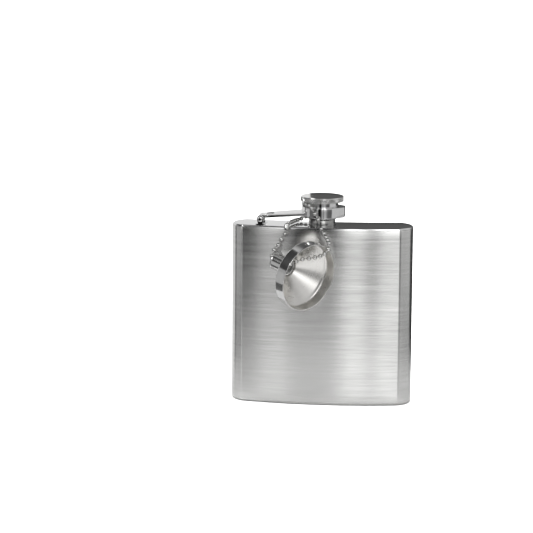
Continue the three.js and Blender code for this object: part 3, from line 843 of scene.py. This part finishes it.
def ear(y0, y1):
    """One cheek of the bracket, with its rounded top and pin hole."""
    n = 72
    angles = np.linspace(-math.pi / 2, 1.5 * math.pi, n, endpoint=False)
    outline = []
    for t in angles:
        c, s = math.cos(t), math.sin(t)
        if s >= 0:
            outline.append((EAR_R * c, HINGE_Z + EAR_R * s))
        else:
            # the sides draw in below the pin, down to the foot
            side = EAR_R * (1 + EAR_NARROWING * s)
            down = min(HINGE_Z / -s, side / max(abs(c), SMALL))
            outline.append((down * c, HINGE_Z + down * s))
    outline = np.array(outline)
    bore = np.stack([PIN_HOLE_R * np.cos(angles), HINGE_Z + PIN_HOLE_R * np.sin(angles)], 1)
    centre = np.array((0, HINGE_Z))
    small = centre + (outline - centre) * 0.95

    def at(points, y):
        return np.column_stack([points[:, 0], np.full(n, y), np.maximum(points[:, 1], 0.0)])

    return grid([at(small, y0), at(outline, y0 + 0.1), at(outline, y1 - 0.1), at(small, y1),
                 at(bore, y1), at(bore, y0)], wrap=True)


def foot_plate():
    """The bracket's foot, with its upper edges eased."""
    base = soften([(-FOOT_HALF, -BRACKET_HALF), (FOOT_HALF, -BRACKET_HALF),
                   (FOOT_HALF, BRACKET_HALF), (-FOOT_HALF, BRACKET_HALF)], 0.5, steps=5)
    top = [(x * 0.97, y * 0.985) for x, y in base]
    return grid([level(base, 0.0), level(base, 0.8 * FOOT_H), level(top, FOOT_H)], caps=True)


ear_y = KNUCKLE_HALF + EAR_GAP
bracket = united("hinge_bracket_welded",
                 [foot_plate(), ear(ear_y, BRACKET_HALF), ear(-BRACKET_HALF, -ear_y)],
                 place(HINGE_X, NECK_Y, TOP))
dress(bracket, MIRROR, "flask", "polished_steel", "hinge_bracket")

# radius, and height past the bracket, from under a head to its top
pin_head = [(PIN_R, 0.3), (PIN_HEAD_R, 0.3), (PIN_HEAD_R, 0.45), (0.8, 0.75), (0, 0.8)]
pin = turned("hinge_pin_headed",
             [(r, -BRACKET_HALF - up) for r, up in pin_head[::-1]]
             + [(r, BRACKET_HALF + up) for r, up in pin_head],
             place(HINGE_X, NECK_Y, TOP + HINGE_Z, axis=(0, 1, 0)), segments=48, radius=0.1)
dress(pin, POLISHED, "flask", "polished_steel", "hinge_pin")

# ---------------------------------------------------------------- funnel
inner_r, step_r, throat = FUNNEL_R - FUNNEL_WALL, FUNNEL_R - 1.9, SPOUT_R + 0.3
rim_z, cup_z, tip_z = -FUNNEL_RIM_H, -FUNNEL_CUP_H, -FUNNEL_LENGTH
# radius, height from the mouth and corner radius, down the outside and back up the inside
cup = turned("funnel_cup_spun", [
    (FUNNEL_R - 0.02, 0, 0.1), (FUNNEL_R, -0.5, 0.1), (FUNNEL_R - 0.02, rim_z, 0.7),
    (FUNNEL_R - 0.5, rim_z - 0.6, 0.6), (step_r, rim_z - 1.1, 1.2),
    (throat + 0.6, cup_z + 1.2, 1.0), (throat + 0.5, cup_z, 0.1), (throat, cup_z, 0.1),
    (throat, cup_z + 1.4, 0.6), (step_r, rim_z - 0.5, 1.4), (inner_r - 0.4, rim_z, 0.6),
    (inner_r, rim_z + 0.6, 0.6), (inner_r, 0, 0.15),
], FUNNEL_AT, segments=192, radius=0.2, steps=6, spun=True)
dress(cup, SPUN, "funnel", "funnel_steel", "funnel_cup")
# the outside of the rim is polished
cup.data.materials.append(SPOUT)
turned_at = cup.data.attributes["turned"].data
for face in cup.data.polygons:
    radii = [math.hypot(*turned_at[i].vector[:2]) for i in face.vertices]
    face.material_index = int(min(radii) > (FUNNEL_R - 0.2) * MM)

spout_lip = SPOUT_R + 0.15
spout = turned("funnel_spout_tube", [
    (SPOUT_R, cup_z + 0.9), (SPOUT_R, tip_z + 0.75), (spout_lip, tip_z + 0.45),
    (spout_lip, tip_z), (SPOUT_BORE_R, tip_z), (SPOUT_BORE_R, cup_z + 0.9),
], FUNNEL_AT, segments=96, radius=0.12, spun=True)
dress(spout, SPOUT, "funnel", "funnel_steel", "funnel_spout")


# ---------------------------------------------------------------- floor, light and world
def board(name, corners):
    """A four-cornered sheet that isn't part of the object."""
    me = bpy.data.meshes.new(name)
    me.from_pydata(corners, [], [(0, 1, 2, 3)])
    obj = in_scene(name, me)
    return obj


def flat(x0, x1, y0, y1, z):
    """Corners of a level rectangle."""
    return [(x0, y0, z), (x1, y0, z), (x1, y1, z), (x0, y1, z)]


def upright(x0, y0, x1, y1, z0, z1):
    """Corners of a standing rectangle over the line from x0, y0 to x1, y1."""
    return [(x0, y0, z0), (x1, y1, z0), (x1, y1, z1), (x0, y0, z1)]


def matte(name, value):
    """A dull grey with no gloss."""
    material = bpy.data.materials.new(name)
    material.use_nodes = True
    shader = material.node_tree.nodes["Principled BSDF"]
    shader.inputs["Base Color"].default_value = (value, value, value, 1)
    shader.inputs["Roughness"].default_value = 0.9
    shader.inputs["Specular IOR Level"].default_value = 0.0
    return material


FLOOR_HALF, FLOOR_Z, REFLECTED_Z = 12, -0.0001, -0.00005
floor = board("floor", flat(-FLOOR_HALF, FLOOR_HALF, -FLOOR_HALF, FLOOR_HALF, FLOOR_Z))
floor.data.materials.append(matte("floor_white", 0.90))
floor.visible_glossy = floor.visible_shadow = False
# what the steel shows of the floor: a brighter middle between two darker sides
for name, x0, x1, value in (("middle", -0.052, 0.052, 0.45), ("left", -0.12, -0.052, 0.32),
                            ("right", 0.052, 0.13, 0.32)):
    table = board(f"floor_as_reflected_{name}", flat(x0, x1, -0.20, 0.08, REFLECTED_Z))
    table.data.materials.append(matte(f"floor_pale_{name}", value))
    table.visible_camera = table.visible_diffuse = table.visible_shadow = False


def softbox(name, place_at, aim_at, size, power):
    """A square area light, hidden from the camera."""
    light = bpy.data.lights.new(name, "AREA")
    light.shape, light.size, light.energy = "SQUARE", size, power
    obj = in_scene(name, light)
    obj.location = place_at
    way = Vector(aim_at) - Vector(place_at)
    obj.rotation_euler = way.to_track_quat("-Z", "Y").to_euler()
    obj.visible_camera = False
    return obj


overhead = softbox("overhead", (0, 0.1, 1.3), (0, 0, 0), 1.6, 11)
sky = bpy.data.lights.new("soft_fill", "SUN")
sky.energy, sky.angle = 4.6, math.radians(110)
sky_object = in_scene("soft_fill", sky)
overhead.visible_glossy = sky_object.visible_glossy = False
softbox("key", (-0.86, -0.44, 0.95), (0, 0, 0.08), 0.34, 5.0)


def card(name, corners, glow):
    """A board, seen only in reflections, that gives off an even light."""
    obj = board(name, corners)
    material = bpy.data.materials.new(name)
    n = Nodes(material)
    light = n.add("ShaderNodeEmission", {"Strength": glow})
    n.feed(n.tree.nodes["Material Output"], Surface=light.outputs[0])
    obj.data.materials.append(material)
    obj.visible_camera = obj.visible_shadow = obj.visible_diffuse = False


card("board_behind", upright(-0.16, 0.045, -0.0125, 0.060, 0.0, 0.155), 0.80)
card("board_right", upright(0.30, -0.17, 0.30, 0.17, -0.02, 0.13), 0.60)
card("board_left", upright(-0.30, -0.12, -0.30, 0.04, -0.02, 0.12), 0.50)
card("dark_flag", upright(-0.42, -0.22, -0.42, 0.40, 0.20, 0.95), 0.05)

# Brightness by azimuth, in degrees from the front towards +X: one soft strip to the left of the
# camera, a dark gap in front, and two brighter strips to the right of it. From -36 to 22 the curve
# follows values that were fitted to the photo's shading along the body, then rounded.
BANDS = [(-180, 0.07), (-165, 0.07), (-150, 0.3), (-128, 0.5), (-110, 0.4), (-95, 0.3), (-75, 0.25),
         (-60, 0.5), (-48, 0.4), (-36, 0.2), (-32, 0.02), (-26, 0.5), (-19, 0.8), (-15, 0.02),
         (-6, 0.02), (0, 0.2), (5, 1.3), (9, 1.4), (12.5, 0.5), (17, 1.6), (22, 1.6), (30, 0.9),
         (45, 0.4), (60, 0.45), (85, 0.35), (110, 0.45), (135, 0.2), (165, 0.07), (180, 0.07)]
# and by height, in degrees above the horizon: brightest from 14 to 50
LEVELS = [(-90, 0.4), (-30, 0.4), (-14, 0.3), (-3, 0.3), (4, 0.9), (14, 1.7), (50, 1.5),
          (70, 0.5), (90, 0.4)]
LIMIT = 2.0  # above every brightness in the two lists: a curve node's values end at 1


def brightness(n, value, points):
    """A smooth curve of brightness over a value from 0 to 1."""
    node = n.add("ShaderNodeFloatCurve", {"Value": value})
    curve = node.mapping.curves[0]
    first, *between, last = [(at, bright / LIMIT) for at, bright in points]
    curve.points[0].location, curve.points[-1].location = first, last
    for at, bright in between:
        curve.points.new(at, bright)
    node.mapping.update()
    return n.math("MULTIPLY", node.outputs[0], LIMIT)


world = bpy.data.worlds.new("studio")
bpy.context.scene.world = world
w = Nodes(world)
direction = w.add("ShaderNodeTexCoord").outputs["Generated"]
dx, dy, dz = w.add("ShaderNodeSeparateXYZ", {0: direction}).outputs
azimuth = w.math("ARCTAN2", dx, w.math("MULTIPLY", dy, -1.0))
turn = w.math("ADD", w.math("DIVIDE", azimuth, 2 * math.pi), 0.5)
around = brightness(w, turn, [(degrees / 360 + 0.5, value) for degrees, value in BANDS])
up = [(0.5 + 0.5 * math.sin(math.radians(degrees)), value) for degrees, value in LEVELS]
rise = brightness(w, w.spread(dz, -1, 1, 0, 1), up)
sees = w.add("ShaderNodeLightPath").outputs["Is Camera Ray"]
background = w.tree.nodes["Background"]
background.inputs["Color"].default_value = (1, 1, 1, 1)
# the camera itself sees plain white
shade = w.add("ShaderNodeMix", {0: sees, 2: w.math("MULTIPLY", around, rise), 3: 1.0},
              data_type="FLOAT")
w.feed(background, Strength=shade.outputs[0])
